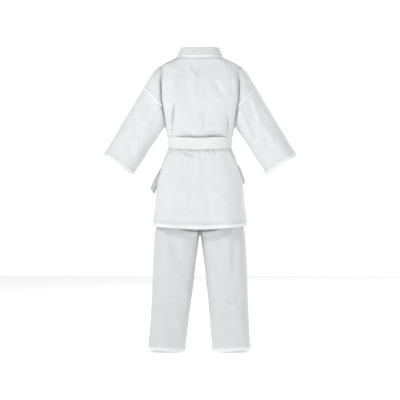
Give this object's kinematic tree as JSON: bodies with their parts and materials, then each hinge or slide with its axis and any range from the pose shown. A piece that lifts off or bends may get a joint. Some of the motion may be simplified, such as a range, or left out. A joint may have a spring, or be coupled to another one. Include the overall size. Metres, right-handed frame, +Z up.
{
  "type": "martial arts uniform",
  "caption": "Child's white wrap jacket, tied belt and loose trousers, worn shape, with swinging sleeves, skirt panels and legs.",
  "frame": {"origin": "on the floor plane under the middle of the uniform, at the height of the trousers' hem", "axes": "+Z up along the wearer's spine, the wearer faces -Y, the wearer's left is +X"},
  "size_m": [0.6772, 0.2074, 1.062],
  "materials": {
    "jacket_canvas": "bleached cotton canvas, plain weave, soft matt",
    "stitched_band": "bleached cotton, several plies quilted with parallel stitch rows",
    "seam_tape": "bright white cotton twill tape",
    "belt_cotton": "white cotton belt, ribbed by close rows of stitching",
    "trouser_canvas": "bleached cotton canvas, slightly greyer than the jacket",
    "core_cloth": "stiff interfacing cloth",
    "elastic_webbing": "white knitted elastic webbing"
  },
  "bodies": {
    "jacket": {"back_panel": "jacket_canvas", "shoulder_yoke": "jacket_canvas", "front_panel_left": "jacket_canvas", "front_panel_right": "jacket_canvas", "lapel_left": "stitched_band", "lapel_right": "stitched_band", "collar_band": "stitched_band", "collar_core": "core_cloth", "belt_wrap_inner": "belt_cotton", "belt_wrap_outer": "belt_cotton", "belt_knot": "belt_cotton"},
    "sleeve_arm_left": {"drop_shoulder_left": "jacket_canvas", "sleeve_left": "jacket_canvas", "sleeve_hem_left": "stitched_band", "sleeve_seam_tape_left": "seam_tape"},
    "sleeve_arm_right": {"drop_shoulder_right": "jacket_canvas", "sleeve_right": "jacket_canvas", "sleeve_hem_right": "stitched_band", "sleeve_seam_tape_right": "seam_tape"},
    "front_skirt": {"front_skirt_left": "jacket_canvas", "front_skirt_right": "jacket_canvas", "front_hem_left": "stitched_band", "front_hem_right": "stitched_band"},
    "back_skirt_panel": {"back_skirt": "jacket_canvas", "back_hem": "stitched_band", "back_vent_facings": "jacket_canvas"},
    "tail_left": {"belt_tail_left": "belt_cotton"},
    "tail_right": {"belt_tail_right": "belt_cotton"},
    "trousers": {"waistband": "trouser_canvas", "waist_elastic": "elastic_webbing", "seat_left": "trouser_canvas", "seat_right": "trouser_canvas", "crotch_gusset": "trouser_canvas"},
    "trouser_leg_left": {"leg_left": "trouser_canvas", "leg_hem_left": "trouser_canvas"},
    "trouser_leg_right": {"leg_right": "trouser_canvas", "leg_hem_right": "trouser_canvas"}
  },
  "joints": [
    {"name": "sleeve_left_raise", "type": "hinge", "parent": "jacket", "child": "sleeve_arm_left", "pos_m": [0.134, 0, 1.003], "axis": [0, -1, 0], "range_deg": [0, 60]},
    {"name": "sleeve_right_raise", "type": "hinge", "parent": "jacket", "child": "sleeve_arm_right", "pos_m": [-0.134, 0, 1.003], "axis": [0, 1, 0], "range_deg": [0, 60]},
    {"name": "front_skirt_swing", "type": "hinge", "parent": "jacket", "child": "front_skirt", "pos_m": [0, -0.084, 0.7084], "axis": [-1, 0, 0], "range_deg": [0, 35]},
    {"name": "back_skirt_swing", "type": "hinge", "parent": "jacket", "child": "back_skirt_panel", "pos_m": [0, 0.084, 0.7084], "axis": [1, 0, 0], "range_deg": [0, 25]},
    {"name": "belt_tail_left_swing", "type": "hinge", "parent": "jacket", "child": "tail_left", "pos_m": [0, -0.1073, 0.7084], "axis": [-1, 0, 0], "range_deg": [0, 35]},
    {"name": "belt_tail_right_swing", "type": "hinge", "parent": "jacket", "child": "tail_right", "pos_m": [0, -0.1073, 0.7084], "axis": [-1, 0, 0], "range_deg": [0, 35]},
    {"name": "trousers_slide", "type": "slide", "parent": "jacket", "child": "trousers", "axis": [0, 0, -1], "range_m": [0, 0.25]},
    {"name": "leg_left_swing", "type": "hinge", "parent": "trousers", "child": "trouser_leg_left", "pos_m": [0, 0, 0.44], "axis": [-1, 0, 0], "range_deg": [-25, 25]},
    {"name": "leg_right_swing", "type": "hinge", "parent": "trousers", "child": "trouser_leg_right", "pos_m": [0, 0, 0.44], "axis": [-1, 0, 0], "range_deg": [-25, 25]}
  ],
  "couplings": [
    {"joint": "belt_tail_left_swing", "follows": "front_skirt_swing", "ratio": 1},
    {"joint": "belt_tail_right_swing", "follows": "front_skirt_swing", "ratio": 1}
  ]
}
